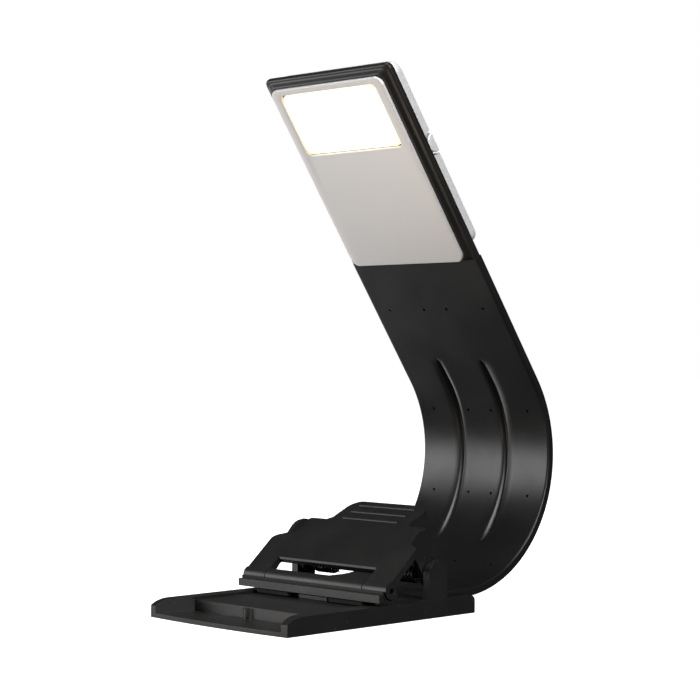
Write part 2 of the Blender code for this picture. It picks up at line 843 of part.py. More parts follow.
def make_tongue_screws(look):
    for sign, tag in ((-1, "left"), (1, "right")):
        x = sign * TONGUE_SCREW_X
        top = DECK_UNDER - PART_GAP
        body = rod(SCREW_R, top - 0.3, SCREW_TOP, x, TONGUE_SCREW_Y, None, 16)
        join(body, rod(SCREW_HEAD_R, top - SCREW_HEAD_T, top, x, TONGUE_SCREW_Y, None, 20))
        for turn in (0.0, 90.0):
            spin = Matrix.Rotation(math.radians(turn), 4, "Z")
            place = Matrix.Translation(Vector((x, TONGUE_SCREW_Y, 0.0)) * MM) @ spin
            cut(
                body,
                box((-1.1, -0.2, top - SCREW_HEAD_T - 0.5), (1.1, 0.2, top - 0.45), place),
            )
        keep(body, "tongue_screw_" + tag, look)


# ---------------------------------------------------------------- head


def keep_head(obj, name, look):
    """The head's solids are made in the head's own axes and turned into place when finished."""
    return keep(obj, name, look, frame=HEAD_FRAME)


def pedestal():
    """Raised seat of the front plate, narrower at its top."""
    out = PED_SLOPE
    foot = rounded(
        -PLATE_HALF - out,
        PLATE_LOW - 0.2,
        PLATE_HALF + out,
        PLATE_HIGH + out,
        PLATE_R + out,
        5,
    )
    top = rounded(
        -PLATE_HALF + 0.2,
        PLATE_LOW + 0.4,
        PLATE_HALF - 0.2,
        PLATE_HIGH - 0.2,
        PLATE_R - 0.2,
        5,
    )
    work = bmesh.new()
    rings = []
    for outline, w in ((foot, -PED_SUNK), (top, PED_TOP)):
        rings.append([work.verts.new((a * MM, b * MM, w * MM)) for a, b in outline])
    for lower, upper in zip(rings, rings[1:]):
        for i in range(len(lower)):
            j = (i + 1) % len(lower)
            work.faces.new((lower[i], lower[j], upper[j], upper[i]))
    work.faces.new(list(reversed(rings[0])))
    work.faces.new(rings[-1])
    mesh = bpy.data.meshes.new("pedestal")
    work.to_mesh(mesh)
    work.free()
    return from_mesh(mesh)


def make_head_frame(look):
    half = STRAP_W * 0.5
    outline = [(-half, HEAD_LOW), (half, HEAD_LOW)]
    outline += arc((half - HEAD_R, HEAD_HIGH - HEAD_R), HEAD_R, 0.0, 90.0, 6)
    outline += arc((-half + HEAD_R, HEAD_HIGH - HEAD_R), HEAD_R, 90.0, 180.0, 6)
    body = slab([outline], -STRAP_T, 0.0)
    join(body, pedestal())
    cut(
        body,
        box(
            (-POCKET_HALF, POCKET_LOW, -STRAP_T - 1.0), (POCKET_HALF, POCKET_HIGH, POCKET_TOP)
        ),
    )
    ease = 0.25
    hole = rounded(
        -WIN_HALF - ease, WIN_LOW - ease, WIN_HALF + ease, WIN_HIGH + ease, WIN_R + ease, 4
    )
    cut(body, slab([hole], POCKET_TOP - 0.5, PED_TOP + 1.0))
    cut(body, rod(KEY_RECESS_R, key_room(), half + 1.0, 0.0, 0.0, key_frame(), 28))
    return keep_head(body, "head_frame", look)


def key_frame():
    """Axes of the side key: its third axis points out of the head's side."""
    middle = Matrix.Translation(Vector((0.0, KEY_S, KEY_W)) * MM)
    return middle @ SIDE_ON


def key_room():
    """Where the key's recess ends inside the head: clear of the pressed key."""
    return SHELL_HALF + KEY_PROUD - KEY_LONG - KEY_STROKE - 0.2


def make_front_plate(look):
    outer = rounded(-PLATE_HALF, PLATE_LOW, PLATE_HALF, PLATE_HIGH, PLATE_R, 6)
    inner = rounded(-WIN_HALF, WIN_LOW, WIN_HALF, WIN_HIGH, WIN_R, 5)
    plate = slab([outer, inner], PLATE_BACK, PLATE_FRONT)
    return keep_head(plate, "front_plate", look)


def make_diffuser(look):
    ease = 0.2
    body = slab(
        [rounded(-WIN_HALF + ease, WIN_LOW + ease, WIN_HALF - ease, WIN_HIGH - ease, WIN_R, 5)],
        POCKET_TOP - 0.4,
        DIFF_FRONT,
    )
    more = DIFF_FLANGE
    flange = box(
        (-WIN_HALF - more, WIN_LOW - more, POCKET_TOP - PART_GAP - DIFF_FLANGE_T),
        (WIN_HALF + more, min(WIN_HIGH + more, POCKET_HIGH - PART_GAP), POCKET_TOP - PART_GAP),
    )
    join(body, flange)
    return keep_head(body, "diffuser_window", look)


def make_light_well(look):
    out_x = WIN_HALF + 0.9
    low, high = WIN_LOW - 0.9, WIN_HIGH + 0.9
    outer = rounded(-out_x, low, out_x, high, 1.0, 3)
    inner = rounded(-out_x + WELL_T, low + WELL_T, out_x - WELL_T, high - WELL_T, 0.6, 3)
    top = POCKET_TOP - PART_GAP - DIFF_FLANGE_T - 0.15
    ring = slab([outer, inner], LED_BOARD_FRONT + 0.15, top)
    return keep_head(ring, "light_well", look)


def make_led_board(look, chip_look):
    half = WIN_HALF + 0.9
    low, high = WIN_LOW - 0.9, WIN_HIGH + 0.9
    board = slab(
        [rounded(-half, low, half, high, 0.8, 3)], LED_BOARD_FRONT - BOARD_T, LED_BOARD_FRONT
    )
    keep_head(board, "led_board", look)
    middle = (low + high) * 0.5
    number = 0
    for row in (-0.5, 0.5):
        for col in range(LED_COLS):
            number += 1
            x = (col - (LED_COLS - 1) * 0.5) * LED_PITCH_X
            s = middle + row * LED_PITCH_S
            chip = box(
                (x - LED_L * 0.5, s - LED_W * 0.5, LED_BOARD_FRONT + 0.05),
                (x + LED_L * 0.5, s + LED_W * 0.5, LED_BOARD_FRONT + 0.05 + LED_T),
            )
            keep_head(chip, f"led_chip_{number}", chip_look)


def make_cell(look):
    outline = rounded(CELL_LEFT, CELL_LOW, CELL_RIGHT, CELL_HIGH, 0.8, 3)
    cell = slab([outline], CELL_BACK, CELL_BACK + CELL_T)
    soften(cell, 0.5, 2, 50.0)
    return keep_head(cell, "lithium_cell", look)


def make_main_board(look):
    front = -STRAP_T - 0.1 + BOARD_T
    outline = rounded(-19.4, MAIN_LOW, 19.4, MAIN_HIGH, 0.8, 3)
    board = slab([outline], front - BOARD_T, front)
    return keep_head(board, "charge_board", look)


def make_usb(look):
    """Steel socket shell with its mouth at the left wall and a contact tongue inside."""
    back = -STRAP_T - 0.1 - 0.1 - USB_HIGH
    mouth = -SHELL_HALF + 0.3
    low_s = USB_S - USB_LONG * 0.5
    body = box(
        (mouth, low_s, back), (mouth + USB_DEEP, low_s + USB_LONG, back + USB_HIGH)
    )
    wall = USB_WALL
    cut(
        body,
        box(
            (mouth - 1.0, low_s + wall, back + wall),
            (mouth + USB_DEEP - 0.8, low_s + USB_LONG - wall, back + USB_HIGH - wall),
        ),
    )
    join(
        body,
        box(
            (mouth + 0.6, low_s + 2.0, back + USB_HIGH * 0.5 - 0.1),
            (mouth + USB_DEEP - 0.4, low_s + USB_LONG - 2.0, back + USB_HIGH * 0.5 + 0.5),
        ),
    )
    return keep_head(body, "usb_socket", look)


def make_back_shell(look):
    low_w = -STRAP_T - SHELL_DEEP
    high_w = -STRAP_T - PART_GAP
    outer = rounded(-SHELL_HALF, SHELL_LOW, SHELL_HALF, SHELL_HIGH, SHELL_R, 6)
    body = slab([outer], low_w, high_w)
    soften(body, SHELL_EDGE, 2, 60.0)
    wall = SHELL_WALL
    inner = rounded(
        -SHELL_HALF + wall,
        SHELL_LOW + wall,
        SHELL_HALF - wall,
        SHELL_HIGH - wall,
        SHELL_R - wall,
        4,
    )
    cut(body, slab([inner], low_w + SHELL_SKIN, high_w + 1.0))
    cut(body, rod(KEY_RECESS_R, key_room(), SHELL_HALF + 1.0, 0.0, 0.0, key_frame(), 28))
    back = -STRAP_T - 0.1 - 0.1 - USB_HIGH
    low_s = USB_S - USB_LONG * 0.5
    cut(
        body,
        box(
            (-SHELL_HALF - 1.0, low_s - PART_GAP, back - 0.1),
            (-SHELL_HALF + wall + 0.5, low_s + USB_LONG + PART_GAP, high_w + 1.0),
        ),
    )
    return keep_head(body, "back_shell", look)


def make_key(look):
    proud = SHELL_HALF + KEY_PROUD
    low_w = -STRAP_T - SHELL_DEEP + 0.15 - KEY_W
    body = rod(KEY_R, proud - KEY_LONG, proud, 0.0, 0.0, key_frame(), 28)
    frame = key_frame()
    cut(body, box((-9.0, low_w - 9.0, 0.0), (9.0, low_w, 40.0), frame))
    return keep_head(body, "power_key", look)


def make_switch(look, board_look):
    face = SHELL_HALF + KEY_PROUD - KEY_LONG - KEY_STROKE - 0.4
    body = box(
        (face - SWITCH_L, KEY_S - SWITCH_H * 0.5, KEY_W + 0.75),
        (face - 0.9, KEY_S + SWITCH_H * 0.5, KEY_W + 0.75 + SWITCH_T),
    )
    stem = KEY_W + 0.75 + SWITCH_T * 0.5
    join(
        body,
        box((face - 1.2, KEY_S - 0.9, stem - 0.5), (face, KEY_S + 0.9, stem + 0.5)),
    )
    keep_head(body, "tact_switch", look)
    top = KEY_W + 0.75 + SWITCH_T + 0.15
    board = box(
        (CELL_RIGHT + 0.5, CELL_LOW + 6.0, top),
        (POCKET_HALF - 0.4, CELL_HIGH, top + BOARD_T),
    )
    keep_head(board, "switch_board", board_look)


def main():
    black = material("black_abs", (0.022, 0.022, 0.022), 0.45)
    soft_black = material("black_strap_elastomer", (0.018, 0.018, 0.018), 0.5)
    rubber = material("grip_rubber", (0.03, 0.03, 0.03), 0.85)
    steel = material("bright_steel", (0.55, 0.55, 0.56), 0.25, 1.0)
    strip = material("spring_strip_steel", (0.4, 0.4, 0.42), 0.35, 1.0)
    silver = material("satin_aluminium", (0.62, 0.62, 0.63), 0.38, 1.0)
    shell = material("silver_paint", (0.72, 0.72, 0.73), 0.4, 0.3)
    opal = material("opal_diffuser", (0.95, 0.9, 0.8), 0.4)
    white = material("white_reflector", (0.85, 0.85, 0.83), 0.5)
    board = material("circuit_board", (0.03, 0.16, 0.07), 0.5)
    chip = material("led_phosphor", (0.9, 0.75, 0.25), 0.4)
    foil = material("cell_foil", (0.5, 0.51, 0.53), 0.35, 0.9)
    dark = material("switch_body", (0.05, 0.05, 0.05), 0.5)
    make_base(black)
    make_cover(black)
    make_feet(rubber)
    make_pivot_pin(steel)
    make_springs(steel)
    make_lever(black)
    make_jaw(black, rubber, steel)
    make_strap(soft_black, strip)
    make_tongue_screws(steel)
    make_head_frame(black)
    make_front_plate(silver)
    make_diffuser(opal)
    make_light_well(white)
    make_led_board(board, chip)
    make_cell(foil)
    make_main_board(board)
    make_usb(steel)
    make_back_shell(shell)
    make_key(shell)
    make_switch(dark, board)


main()
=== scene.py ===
"""Clip on reading lamp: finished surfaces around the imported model.

Lengths are in millimetres in the constants and in metres in the scene. +Z is up, +X is across the
lamp and -Y is the front, where the clamp opens. The strap's own axes are s, along its middle from
the start of the bend, x across it, and w out of its hollow face. The head's are x across it, y up
it and z out of its lit face.
"""

import json
import math

import bmesh
import bpy
from mathutils import Matrix, Vector


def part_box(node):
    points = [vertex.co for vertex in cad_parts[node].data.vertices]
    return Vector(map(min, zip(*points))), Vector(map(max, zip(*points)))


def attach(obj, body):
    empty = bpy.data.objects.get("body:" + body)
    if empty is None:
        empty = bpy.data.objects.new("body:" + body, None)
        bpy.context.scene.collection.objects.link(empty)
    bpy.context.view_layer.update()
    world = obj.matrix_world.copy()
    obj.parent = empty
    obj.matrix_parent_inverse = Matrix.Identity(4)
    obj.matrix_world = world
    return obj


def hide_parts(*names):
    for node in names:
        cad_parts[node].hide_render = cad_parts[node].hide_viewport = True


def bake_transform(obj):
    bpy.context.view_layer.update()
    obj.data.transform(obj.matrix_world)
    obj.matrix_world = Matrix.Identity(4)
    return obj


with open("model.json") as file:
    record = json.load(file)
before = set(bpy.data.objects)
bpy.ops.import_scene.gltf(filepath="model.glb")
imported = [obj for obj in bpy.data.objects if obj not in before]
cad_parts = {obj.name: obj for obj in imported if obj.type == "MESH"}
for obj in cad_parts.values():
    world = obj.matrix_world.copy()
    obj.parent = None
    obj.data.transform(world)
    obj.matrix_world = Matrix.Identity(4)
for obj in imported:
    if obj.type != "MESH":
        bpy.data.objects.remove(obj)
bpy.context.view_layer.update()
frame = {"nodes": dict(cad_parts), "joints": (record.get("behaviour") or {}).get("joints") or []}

MM = 0.001
WELD = 0.000002
FLAT_ANGLE = 0.4

# Edges as the moulds leave them
BASE_EASE = 0.35
LEVER_EASE = 0.3
JAW_EASE = 0.2
WINDOW_EASE = 0.15
EASE_STEPS = 3
EASE_ANGLE = 30.0
LOFT_CREASE = 38.0

# Strap
EDGE_R = 0.55
EDGE_STEPS = 5
EDGE_LEAD = 0.3
ROW_STEP = 0.6
FACE_MIDDLE = (0.0, 3.2, 6.2)
FACE_OUTER = (12.0, 16.0, 20.0)
GROOVE_X = 8.5
GROOVE_HALF = 0.75
GROOVE_SOFT = 0.35
GROOVE_D = 0.85
GROOVE_FROM = 44.0
GROOVE_PAST = 8.0
GROOVE_TAPER = 9.0
GROOVE_NARROW = 0.25
GROOVE_LIP = ((1.0, 0.0), (0.75, 0.06), (0.35, 0.35))
GROOVE_FLOOR = ((-0.8, 0.8), (-0.45, 1.0), (0.45, 1.0), (0.8, 0.8))
HOLE_R = 0.42
HOLE_D = 0.9
HOLE_X = (4.4, 18.3)
HOLE_ANGLES = (30.0, 70.0, 110.0)
HOLE_PAST = 25.5
HOLE_SIDES = 20

# Head
BEZEL_R = 1.7
BEZEL_EDGE = 0.75
BEZEL_BACK = 1.25
BEZEL_FOOT_R = 0.02
SEAT_OUT = 0.25
SEAT_GAP = 0.02
LEDGE_RISE = (0.2, 0.4, 0.6, 0.75, 0.88, 0.96, 1.0)
ROOM_HALF = 20.6
ROOM_LOW = 3.2
ROOM_HIGH = 3.0
ROOM_R = 0.6
ROOM_TOP = -0.1
PLATE_R = 2.5
PLATE_EDGE = 0.14
WINDOW_R = 1.6
WINDOW_GAP = 0.2
WINDOW_FLANGE = 1.2
CASING_R = 3.2
CASING_EDGE = 0.65
CASING_WALL = 1.1
CASING_BACK = 0.5
CASING_LIP = 0.12
MOUTH_GAP = 0.2
MOUTH_UNDER = 0.1
MOUTH_DEEP = 1.6
MOUTH_PAST = 1.0
KEY_R = 2.7
KEY_EDGE = 0.35
KEY_STEPS = 40
RECESS_R = 3.5
RECESS_DEEP = 0.7
RECESS_PAST = 30.0
RECESS_SIDES = 48
CORNER_STEPS = 8

# Springs
WIRE_ROUND = 2

# Light: name, azimuth, elevation, distance m, width m, height m, watts
SOFTBOXES = (
    ("key_softbox", -46.0, 6.5, 0.75, 0.5, 0.36, 2.6),
    ("right_softbox", 78.0, 26.0, 0.8, 0.4, 0.5, 6.2),
    ("top_softbox", 10.0, 75.0, 0.8, 0.5, 0.5, 3.4),
    ("left_softbox", -98.0, -15.0, 0.6, 0.4, 0.4, 1.2),
)
LAMP_MIDDLE = (0.0, 0.0, 60.0)
FILL = 0.07
TABLE_HALF = 3.0
GLOW_AT = (-6.0, -118.0, -1.0)
GLOW_WIDE = 0.1
GLOW_WATTS = 0.085

# Camera
CAMERA_AT = (392.8, -382.575, 72.0)
CAMERA_AZIMUTH = 46.06
CAMERA_PITCH = -0.11
CAMERA_LENS = 103.06
CAMERA_SENSOR = 36.0


# ---------------------------------------------------------------- what the frame says


def node_points(node):
    return [vertex.co.copy() for vertex in frame["nodes"][node].data.vertices]


def plate_normal():
    """Direction that the front plate faces: the normal of its largest triangle."""
    faces = frame["nodes"]["front_plate"].data.polygons
    normal = max(faces, key=lambda face: face.area).normal.copy()
    return normal if normal.y < 0.0 else -normal


HINGES = [
    Vector((0.0, joint["pos_m"][1], joint["pos_m"][2])) / MM
    for joint in frame["joints"]
    if joint["name"].startswith("neck_bend")
]


def circle_through(a, b, c):
    """Centre (y, z) and radius of the circle through three points."""
    d = 2.0 * (a.y * (b.z - c.z) + b.y * (c.z - a.z) + c.y * (a.z - b.z))
    sa, sb, sc = (p.y * p.y + p.z * p.z for p in (a, b, c))
    y = (sa * (b.z - c.z) + sb * (c.z - a.z) + sc * (a.z - b.z)) / d
    z = (sa * (c.y - b.y) + sb * (a.y - c.y) + sc * (b.y - a.y)) / d
    return y, z, math.hypot(a.y - y, a.z - z)


BEND_Y, BEND_Z, MID_R = circle_through(HINGES[0], HINGES[2], HINGES[4])
NORMAL = plate_normal()
BEND_END = math.atan2(-NORMAL.y, NORMAL.z)
ROOT_LOW, ROOT_HIGH = (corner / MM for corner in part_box("strap_root"))
STRAP_T = 2.0 * (BEND_Z - MID_R - ROOT_LOW.z)
STRAP_HALF = ROOT_HIGH.x
INNER_R = MID_R - STRAP_T * 0.5
END_S = MID_R * BEND_END
HINGE_S = [MID_R * math.atan2(p.y - BEND_Y, BEND_Z - p.z) for p in HINGES]


def strap_point(s, x, w):
    """A place on the strap in metres."""
    turn = min(max(s / MID_R, 0.0), BEND_END)
    past = s - turn * MID_R
    reach = INNER_R - w
    y = BEND_Y + reach * math.sin(turn) + past * math.cos(turn)
    z = BEND_Z - reach * math.cos(turn) + past * math.sin(turn)
    return Vector((x, y, z)) * MM


def strap_frame(s):
    """Axes on the strap's hollow face at s: x across, y up the strap, z out of the face."""
    turn = min(max(s / MID_R, 0.0), BEND_END)
    return Matrix.Translation(strap_point(s, 0.0, 0.0)) @ Matrix.Rotation(turn, 4, "X")


HEAD = strap_frame(END_S)


def head_box(node):
    """Lowest and highest corners of a node in the head's axes, in millimetres."""
    back = HEAD.inverted()
    points = [(back @ point) / MM for point in node_points(node)]
    low = Vector([min(p[i] for p in points) for i in range(3)])
    high = Vector([max(p[i] for p in points) for i in range(3)])
    return low, high


# ---------------------------------------------------------------- shaping


def from_bmesh(work, name):
    mesh = bpy.data.meshes.new(name)
    work.to_mesh(mesh)
    work.free()
    obj = bpy.data.objects.new(name, mesh)
    bpy.context.scene.collection.objects.link(obj)
    return obj


def applied(obj):
    """The object with its modifiers made real."""
    bpy.context.view_layer.update()
    graph = bpy.context.evaluated_depsgraph_get()
    mesh = bpy.data.meshes.new_from_object(obj.evaluated_get(graph))
    mesh.name = obj.name
    obj.modifiers.clear()
    obj.data = mesh
    return obj


def smooth(obj, crease=35.0):
    for face in obj.data.polygons:
        face.use_smooth = True
    obj.data.set_sharp_from_angle(angle=math.radians(crease))
    return obj


def quarter(count, start=0.0, end=90.0):
    """(sine, cosine) pairs round part of a circle."""
    turns = [math.radians(start + (end - start) * i / count) for i in range(count + 1)]
    return [(math.sin(turn), math.cos(turn)) for turn in turns]


def drilled(obj, cutter):
    """Takes the cutter's shape out of the object."""
    step = obj.modifiers.new("cut", "BOOLEAN")
    step.operation = "DIFFERENCE"
    step.solver = "EXACT"
    step.object = cutter
    applied(obj)
    bpy.data.objects.remove(cutter, do_unlink=True)
    smooth(obj, LOFT_CREASE)


def shape_of(node, name):
    """A new mesh with a CAD node's shape, its flat faces made whole."""
    work = bmesh.new()
    work.from_mesh(frame["nodes"][node].data)
    bmesh.ops.remove_doubles(work, verts=work.verts, dist=WELD)
    bmesh.ops.dissolve_limit(
        work, angle_limit=math.radians(FLAT_ANGLE), verts=work.verts, edges=work.edges
    )
    bmesh.ops.recalc_face_normals(work, faces=work.faces)
    return from_bmesh(work, name)


def eased(obj, width):
    """Rounded edges as a mould leaves them, with the flats kept flat in the shading."""
    edge = obj.modifiers.new("edge_round", "BEVEL")
    edge.width = width * MM
    edge.segments = EASE_STEPS
    edge.limit_method = "ANGLE"
    edge.angle_limit = math.radians(EASE_ANGLE)
    edge.use_clamp_overlap = True
    edge.miter_outer = "MITER_ARC"
    smooth(obj, 60.0)
    flats = obj.modifiers.new("flat_faces", "WEIGHTED_NORMAL")
    flats.keep_sharp = True
    return obj


def place(obj, body, look, slot, *nodes):
    obj.data.materials.clear()
    obj.data.materials.append(look)
    if body:
        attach(obj, body)
    if nodes:
        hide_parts(*nodes)


# ---------------------------------------------------------------- finishes


def srgb(code):
    """An sRGB hex colour as linear light."""
    parts = [int(code[i : i + 2], 16) / 255.0 for i in (1, 3, 5)]
    linear = [c / 12.92 if c <= 0.04045 else ((c + 0.055) / 1.055) ** 2.4 for c in parts]
    return (*linear, 1.0)


def per(mm):
    """Texture scale for a pattern that repeats about every so many millimetres."""
    return 1.0 / (mm * MM)


def node(tree, kind, inputs=None, **settings):
    """Adds a shader node. An input is a value, or another node and the name of its output."""
    made = tree.nodes.new("ShaderNode" + kind)
    for key, value in settings.items():
        setattr(made, key, value)
    for socket, value in (inputs or {}).items():
        if isinstance(value, tuple) and isinstance(value[0], bpy.types.Node):
            tree.links.new(value[0].outputs[value[1]], made.inputs[socket])
        else:
            made.inputs[socket].default_value = value
    return made


def finish(name, **values):
    """A material with its shader's plain values set."""
    made = bpy.data.materials.new(name)
    made.use_nodes = True
    shader = made.node_tree.nodes["Principled BSDF"]
    for socket, value in values.items():
        shader.inputs[socket.replace("_", " ")].default_value = value
    return made, made.node_tree, shader


def moulded_plastic(name, dark, light, roughness, grain, depth, dust, specular):
    """Plastic or rubber moulded against an eroded tool: an even fine grain breaks up the shine into
    a satin one, and pale specks of dust can sit on it. The real grain is about 0.1 mm across and is
    drawn coarser so that it shows."""
    made, tree, shader = finish(name, IOR=1.5, Specular_IOR_Level=specular)
    place_in = node(tree, "TexCoord")
    tone = node(
        tree,
        "TexNoise",
        {"Vector": (place_in, "Object"), "Scale": per(14.0), "Detail": 3.0, "Roughness": 0.6},
    )
    blend = node(
        tree,
        "Mix",
        {0: (tone, "Fac"), 6: srgb(dark), 7: srgb(light)},
        data_type="RGBA",
    )
    specks = node(
        tree,
        "TexVoronoi",
        {"Vector": (place_in, "Object"), "Scale": per(2.6), "Randomness": 1.0},
    )
    shown = node(
        tree,
        "MapRange",
        {"Value": (specks, "Distance"), 1: 0.035, 2: 0.075, 3: dust, 4: 0.0},
    )
    colour = node(
        tree,
        "Mix",
        {0: (shown, "Result"), 6: (blend, 2), 7: srgb("#8A8880")},
        data_type="RGBA",
    )
    tree.links.new(colour.outputs[2], shader.inputs["Base Color"])
    fine = node(
        tree,
        "TexNoise",
        {
            "Vector": (place_in, "Object"),
            "Scale": per(grain),
            "Detail": 2.0,
            "Roughness": 0.55,
        },
    )
    worn = node(
        tree,
        "MapRange",
        {"Value": (tone, "Fac"), 1: 0.3, 2: 0.7, 3: roughness - 0.04, 4: roughness + 0.05},
    )
    tree.links.new(worn.outputs["Result"], shader.inputs["Roughness"])
    relief = node(
        tree, "Bump", {"Height": (fine, "Fac"), "Strength": 1.0, "Distance": depth * MM}
    )
    tree.links.new(relief.outputs["Normal"], shader.inputs["Normal"])
    return made


def blasted_aluminium():
    """Aluminium plate, bead blasted then clear anodised: a soft even silver with a fine sparkling
    grain. The real bead marks are about 0.06 mm across and are drawn at 0.3 mm so that they show."""
    made, tree, shader = finish("bead_blasted_anodised_aluminium", Metallic=1.0)
    place_in = node(tree, "TexCoord")
    grain = node(
        tree,
        "TexNoise",
        {"Vector": (place_in, "Object"), "Scale": per(0.3), "Detail": 2.0, "Roughness": 0.7},
    )
    tint = node(
        tree,
        "Mix",
        {0: (grain, "Fac"), 6: srgb("#ECECEE"), 7: srgb("#F8F8F9")},
        data_type="RGBA",
    )
    tree.links.new(tint.outputs[2], shader.inputs["Base Color"])
    rough = node(
        tree, "MapRange", {"Value": (grain, "Fac"), 1: 0.3, 2: 0.7, 3: 0.56, 4: 0.66}
    )
    tree.links.new(rough.outputs["Result"], shader.inputs["Roughness"])
    relief = node(
        tree, "Bump", {"Height": (grain, "Fac"), "Strength": 1.0, "Distance": 0.004 * MM}
    )
    tree.links.new(relief.outputs["Normal"], shader.inputs["Normal"])
    return made


def silver_paint():
    """ABS sprayed with metallic silver: bright flakes under a thin lacquer. The real flakes are
    about 0.1 mm across and are drawn at 0.35 mm so that they show."""
    made, tree, shader = finish(
        "sprayed_metallic_silver_paint", Metallic=0.35, Coat_Weight=0.25, Coat_Roughness=0.2
    )
    place_in = node(tree, "TexCoord")
    flakes = node(
        tree, "TexVoronoi", {"Vector": (place_in, "Object"), "Scale": per(0.35)}
    )
    spread = node(tree, "SeparateColor", {"Color": (flakes, "Color")})
    tint = node(
        tree,
        "Mix",
        {0: (spread, "Red"), 6: srgb("#E0E0E0"), 7: srgb("#F4F4F4")},
        data_type="RGBA",
    )
    tree.links.new(tint.outputs[2], shader.inputs["Base Color"])
    rough = node(
        tree, "MapRange", {"Value": (spread, "Green"), 1: 0.0, 2: 1.0, 3: 0.36, 4: 0.5}
    )
    tree.links.new(rough.outputs["Result"], shader.inputs["Roughness"])
    return made


def lit_opal(low, high):
    """Opal acrylic window with the lamp on: white in the middle, and a warm cream toward the rim,
    where less light comes through."""
    made, tree, shader = finish("lit_opal_acrylic", Roughness=0.35)
    shader.inputs["Base Color"].default_value = srgb("#FFF8EA")
    shader.inputs["Emission Strength"].default_value = 1.15
    place_in = node(tree, "TexCoord")
    mapping = node(tree, "Mapping", {"Vector": (place_in, "Object")}, vector_type="TEXTURE")
    middle = HEAD @ ((low + high) * 0.5 * MM)
    mapping.inputs["Location"].default_value = middle
    mapping.inputs["Rotation"].default_value = (BEND_END, 0.0, 0.0)
    half = (high - low) * 0.5 * MM
    mapping.inputs["Scale"].default_value = (half.x, half.y, half.z)
    axes = node(tree, "SeparateXYZ", {"Vector": (mapping, "Vector")})
    across = node(tree, "Math", {0: (axes, "X")}, operation="ABSOLUTE")
    along = node(tree, "Math", {0: (axes, "Y")}, operation="ABSOLUTE")
    side = node(tree, "Math", {0: (across, "Value"), 1: 5.0}, operation="POWER")
    end = node(tree, "Math", {0: (along, "Value"), 1: 4.0}, operation="POWER")
    rim = node(
        tree,
        "Math",
        {0: (side, "Value"), 1: (end, "Value")},
        operation="ADD",
        use_clamp=True,
    )
    glow = node(
        tree,
        "Mix",
        {0: (rim, "Value"), 6: srgb("#FFFDF6"), 7: srgb("#E6D4AC")},
        data_type="RGBA",
    )
    tree.links.new(glow.outputs[2], shader.inputs["Emission Color"])
    return made


def drawn_steel(name, tint, bright, roughness):
    """Steel drawn through a die: bright, with faint lines and dull patches."""
    made, tree, shader = finish(name, Metallic=1.0)
    place_in = node(tree, "TexCoord")
    lines = node(
        tree,
        "TexNoise",
        {
            "Vector": (place_in, "Object"),
            "Scale": per(0.5),
            "Detail": 3.0,
            "Distortion": 0.4,
        },
    )
    colour = node(
        tree,
        "Mix",
        {0: (lines, "Fac"), 6: srgb(tint), 7: srgb(bright)},
        data_type="RGBA",
    )
    tree.links.new(colour.outputs[2], shader.inputs["Base Color"])
    rough = node(
        tree,
        "MapRange",
        {"Value": (lines, "Fac"), 1: 0.3, 2: 0.7, 3: roughness, 4: roughness + 0.12},
    )
    tree.links.new(rough.outputs["Result"], shader.inputs["Roughness"])
    return made


def two_tone(name, first, second, scale, kind, output, roughness, metallic=0.0, depth=0.0):
    """A plain part seen only when the lamp is taken apart: two close colours in a small pattern."""
    made, tree, shader = finish(name, Metallic=metallic)
    place_in = node(tree, "TexCoord")
    pattern = node(tree, kind, {"Vector": (place_in, "Object"), "Scale": per(scale)})
    colour = node(
        tree, "Mix", {0: (pattern, output), 6: srgb(first), 7: srgb(second)}, data_type="RGBA"
    )
    tree.links.new(colour.outputs[2], shader.inputs["Base Color"])
    shader.inputs["Roughness"].default_value = roughness
    relief = node(
        tree,
        "Bump",
        {"Height": (pattern, output), "Strength": 1.0, "Distance": depth * MM},
    )
    tree.links.new(relief.outputs["Normal"], shader.inputs["Normal"])
    return made


# ---------------------------------------------------------------- strap


def groove_size(s):
    """How open the moulded groove is at s, from 0 to 1."""
    start = MID_R * math.radians(GROOVE_FROM)
    end = END_S + GROOVE_PAST
    if not start < s < end:
        return 0.0
    share = min((s - start) / GROOVE_TAPER, (end - s) / GROOVE_TAPER, 1.0)
    return math.sqrt(1.0 - (1.0 - share) ** 2)


def strap_section(s):
    """Closed outline across the strap: hollow face with its two grooves, round edges, plain back."""
    open_by = groove_size(s)
    wide = GROOVE_HALF * (GROOVE_NARROW + (1.0 - GROOVE_NARROW) * open_by)
    deep = GROOVE_D * open_by
    flat_end = STRAP_HALF - EDGE_R - EDGE_LEAD
    face = [(x, 0.0) for x in FACE_MIDDLE]
    for shift, drop in GROOVE_LIP:
        face.append((GROOVE_X - wide - shift * GROOVE_SOFT, -deep * drop))
    for share, drop in GROOVE_FLOOR:
        face.append((GROOVE_X + wide * share, -deep * drop))
    for shift, drop in reversed(GROOVE_LIP):
        face.append((GROOVE_X + wide + shift * GROOVE_SOFT, -deep * drop))
    face += [(x, 0.0) for x in (*FACE_OUTER, flat_end)]
    for sine, cosine in quarter(EDGE_STEPS):
        face.append((STRAP_HALF - EDGE_R + EDGE_R * sine, -EDGE_R + EDGE_R * cosine))
    for sine, cosine in quarter(EDGE_STEPS):
        out = STRAP_HALF - EDGE_R + EDGE_R * cosine
        face.append((out, -STRAP_T + EDGE_R - EDGE_R * sine))
    face.append((flat_end, -STRAP_T))
    face.append((STRAP_HALF * 0.5, -STRAP_T))
    left = [(-x, w) for x, w in reversed(face[1:])]
    return left + face + [(0.0, -STRAP_T)]


def strap_rows(start, end):
    fine = max(1, round((end - start) / ROW_STEP))
    return [start + (end - start) * i / fine for i in range(fine + 1)]


